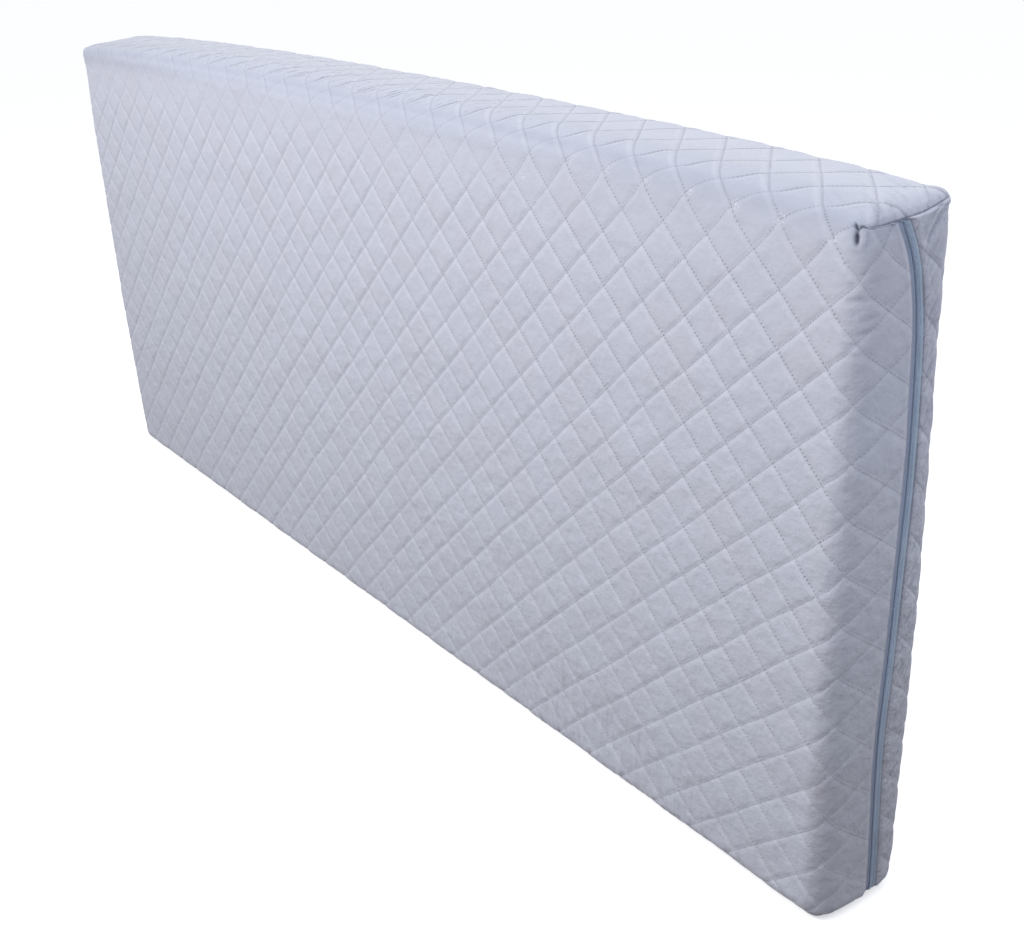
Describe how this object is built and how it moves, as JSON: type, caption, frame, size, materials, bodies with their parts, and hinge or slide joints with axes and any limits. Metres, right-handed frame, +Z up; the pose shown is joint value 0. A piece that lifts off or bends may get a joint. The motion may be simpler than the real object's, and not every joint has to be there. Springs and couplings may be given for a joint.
{
  "type": "quilted mattress protector on a mattress",
  "caption": "Zipped, diamond-quilted cloth cover stretched over a foam cot mattress that stands on its long side.",
  "frame": {"origin": "middle of the underside, on the plane that the covered mattress stands on", "axes": "+X along the mattress towards the zipped end, -Y out of the broad face seen first, +Z up"},
  "size_m": [1.606, 0.1244, 0.705],
  "materials": {
    "quilted_cloth": "matte brushed microfibre, diamond quilted in matching thread",
    "foam": "matte cut foam",
    "zip_tape": "matte woven tape",
    "zip_coil": "satin moulded coil"
  },
  "bodies": {
    "root": {"quilted_cover": "quilted_cloth", "mattress": "foam", "zip_tape_front": "zip_tape", "zip_tape_back": "zip_tape", "zip_coil": "zip_coil"}
  },
  "joints": []
}
